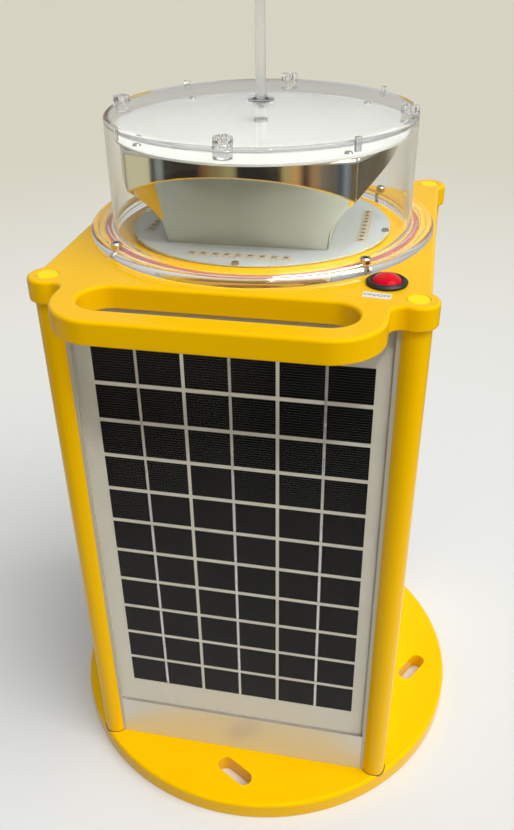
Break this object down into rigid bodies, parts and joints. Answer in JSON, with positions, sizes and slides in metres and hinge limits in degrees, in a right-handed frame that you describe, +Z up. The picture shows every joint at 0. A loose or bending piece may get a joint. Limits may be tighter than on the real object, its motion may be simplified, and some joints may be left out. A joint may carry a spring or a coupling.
{
  "type": "solar led warning lantern",
  "caption": "Solar warning lantern: round bolt-down base, four posts, a solar panel on each side, a carrying handle, a push button and a clear drum lens over a four-way reflector.",
  "frame": {"origin": "centre of the base plate's underside", "axes": "+Z up, the handle and the switch towards -Y, +X to the right seen from the front"},
  "size_m": [0.3599, 0.364, 0.7013],
  "materials": {
    "bare_aluminium": "satin",
    "battery_case": "moulded",
    "black_plastic": "moulded",
    "black_rubber": "smooth",
    "board_parts": "moulded",
    "chrome": "vacuum metallised",
    "circuit_board": "solder mask",
    "clear_polycarbonate": "clear",
    "gasket_silicone": "moulded",
    "label_film": "printed film",
    "lamp_board_white": "white solder mask",
    "led_package": "silicone dome on a copper pad",
    "lemon_plastic": "moulded",
    "panel_glass": "polished",
    "red_plastic": "moulded",
    "silicon_cell": "fine silver lines",
    "skirt_aluminium": "polished",
    "stainless_steel": "turned",
    "white_acrylic": "gloss",
    "white_backsheet": "film",
    "white_nylon": "moulded",
    "wire_jacket": "smooth",
    "yellow_powder_coat": "glossy yellow powder coat"
  },
  "bodies": {
    "lantern": {"base_plate": "yellow_powder_coat", "pressure_vent": "black_plastic", "post_front_left": "yellow_powder_coat", "post_front_right": "yellow_powder_coat", "post_rear_right": "yellow_powder_coat", "post_rear_left": "yellow_powder_coat", "post_inserts": "stainless_steel", "base_bolts": "stainless_steel", "top_bolts": "stainless_steel", "corner_plugs": "lemon_plastic", "top_plate": "yellow_powder_coat", "chassis": "bare_aluminium", "body_gaskets": "black_rubber", "skirt_plates": "skirt_aluminium", "solar_backsheet_front": "white_backsheet", "solar_backsheet_right": "white_backsheet", "solar_backsheet_rear": "white_backsheet", "solar_backsheet_left": "white_backsheet", "solar_cells_front": "silicon_cell", "solar_cells_right": "silicon_cell", "solar_cells_rear": "silicon_cell", "solar_cells_left": "silicon_cell", "solar_glass_front": "panel_glass", "solar_glass_right": "panel_glass", "solar_glass_rear": "panel_glass", "solar_glass_left": "panel_glass", "junction_boxes": "black_plastic", "battery_tray": "bare_aluminium", "battery_left": "battery_case", "battery_right": "battery_case", "battery_strap": "stainless_steel", "control_shelf": "bare_aluminium", "control_board": "circuit_board", "control_parts": "board_parts", "wiring": "wire_jacket", "heat_spreader": "bare_aluminium", "led_board": "lamp_board_white", "led_rows": "led_package", "board_screws": "stainless_steel", "reflector_front": "chrome", "reflector_right": "chrome", "reflector_rear": "chrome", "reflector_left": "chrome", "reflector_clips": "black_plastic", "reflector_cap": "white_acrylic", "cap_screws": "stainless_steel", "centre_stud": "stainless_steel", "lens": "clear_polycarbonate", "lens_gasket": "gasket_silicone", "lens_screws": "stainless_steel", "bird_spike": "clear_polycarbonate", "spike_seal": "black_rubber", "button_bezel": "black_plastic", "button_seal": "black_rubber", "button_nut": "black_plastic", "switch_block": "black_plastic", "switch_label": "label_film", "button_spring": "stainless_steel"},
    "button": {"button_cap": "red_plastic", "button_stem": "white_nylon"}
  },
  "joints": [
    {"name": "button_press", "type": "slide", "parent": "lantern", "child": "button", "axis": [0, 0, -1], "range_m": [0, 0.0025], "stiffness_N_per_m": 400, "springref_m": -0.003, "deforming": ["button_spring"]}
  ]
}
